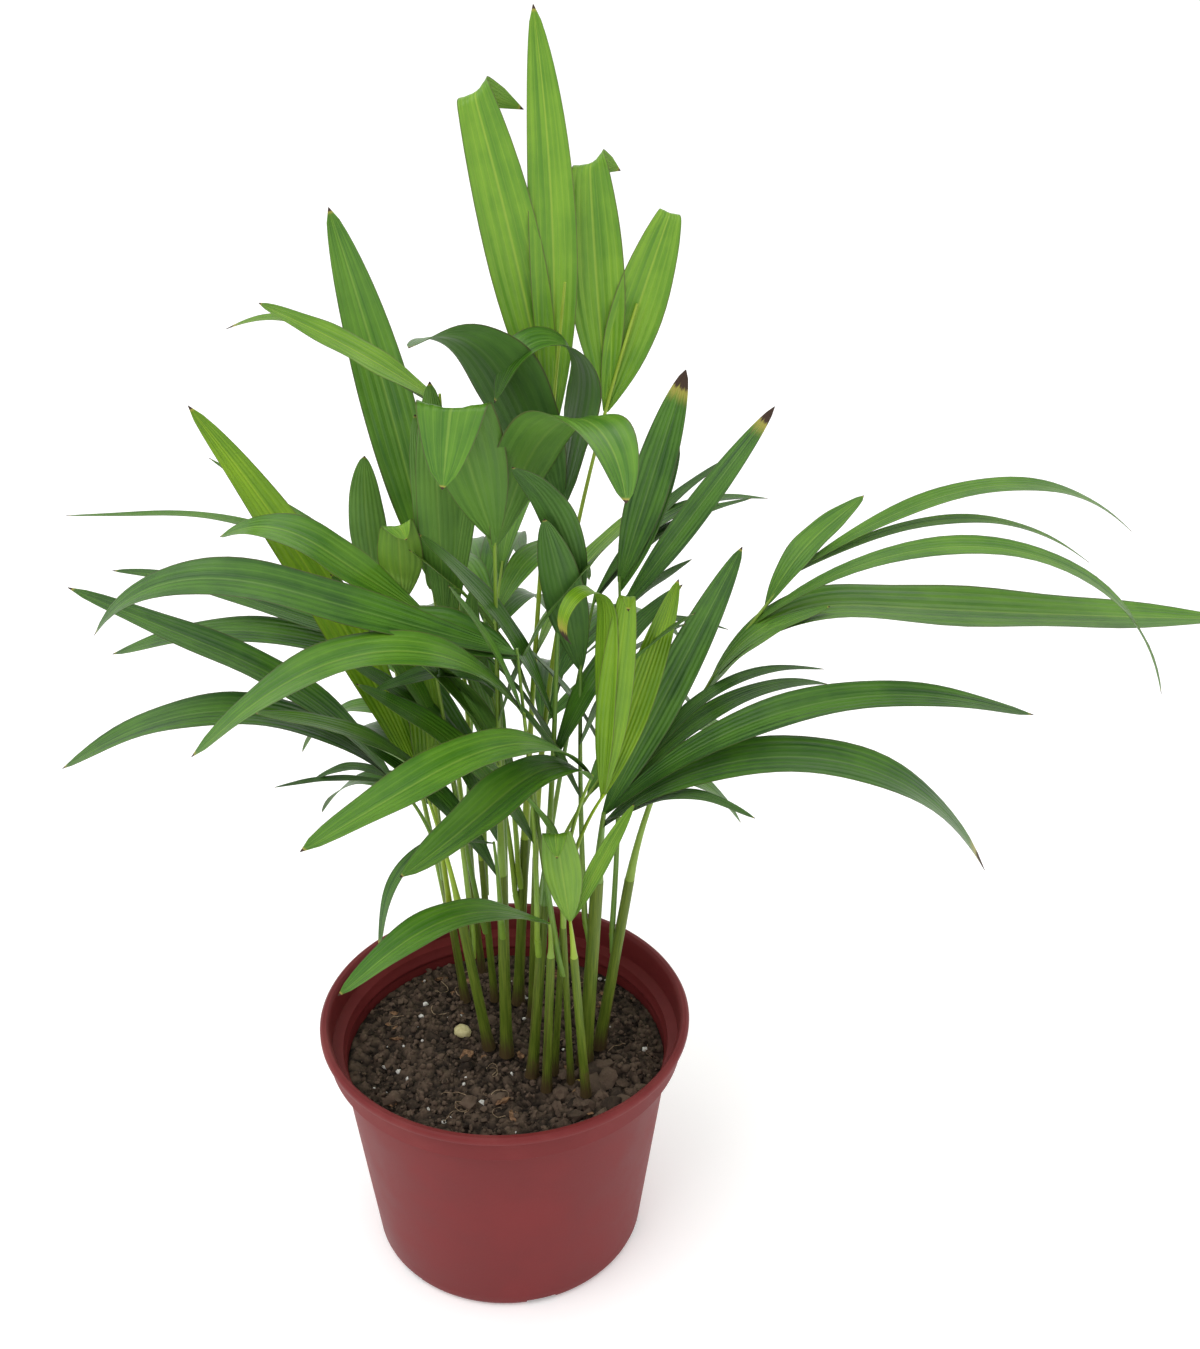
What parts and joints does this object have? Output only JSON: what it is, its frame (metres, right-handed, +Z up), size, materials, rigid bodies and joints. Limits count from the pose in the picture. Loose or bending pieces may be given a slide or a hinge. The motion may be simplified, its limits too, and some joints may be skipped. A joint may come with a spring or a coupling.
{
  "type": "potted areca palm",
  "caption": "Young areca palm with a clump of slender canes and arching feather fronds, standing in a round plastic nursery pot filled with soil.",
  "frame": {"origin": "centre of the pot's flat underside", "axes": "+Z up along the pot's axis, -Y towards the front that the picture shows, +X to the picture's right"},
  "size_m": [0.4918, 0.3263, 0.5307],
  "materials": {
    "pot": "satin maroon terracotta plastic",
    "soil": "dark crumbly potting compost with perlite and bark",
    "stem": "smooth yellow-green cane with brown sheath edges",
    "young": "bright yellow-green young leaflets",
    "bright": "light green leaflets",
    "mid": "mid green leaflets with light ribs",
    "dark": "dark green leaflets with a purple-brown margin"
  },
  "bodies": {
    "root": {"pot": "pot", "soil": "soil", "stem_left_back": "stem", "stem_left_front": "stem", "stem_centre_front": "stem", "stem_left_inner": "stem", "stem_far_back": "stem", "stem_centre_back": "stem", "stem_middle": "stem", "stem_middle_back": "stem", "stem_front_left": "stem", "stem_front": "stem", "stem_front_thin": "stem", "stem_nearest": "stem", "stem_thick": "stem", "stem_right": "stem", "frond_top_left": "bright", "frond_top_right": "bright", "frond_arch_back": "dark", "frond_arch_front": "mid", "frond_left_spear": "mid", "frond_left_high": "bright", "frond_left_tuft": "mid", "frond_left_broad": "mid", "frond_left_stub": "bright", "frond_left_bright": "young", "frond_left_inner": "mid", "frond_left_back": "dark", "frond_left_low": "dark", "frond_left_wide": "mid", "frond_cross": "dark", "frond_front_pair": "mid", "frond_rim": "mid", "frond_hanging": "dark", "frond_inner_left": "dark", "frond_young": "young", "frond_right_low": "dark", "frond_right_long": "mid", "frond_right_spears": "dark", "frond_right_fan": "dark", "frond_centre_dark": "dark", "frond_front_small": "bright", "frond_inner_up": "mid", "frond_back_left": "dark", "frond_back_outer_left": "mid", "frond_back_middle": "dark", "frond_back_high": "mid", "frond_back_right": "dark", "frond_back_outer_right": "mid"}
  },
  "joints": []
}
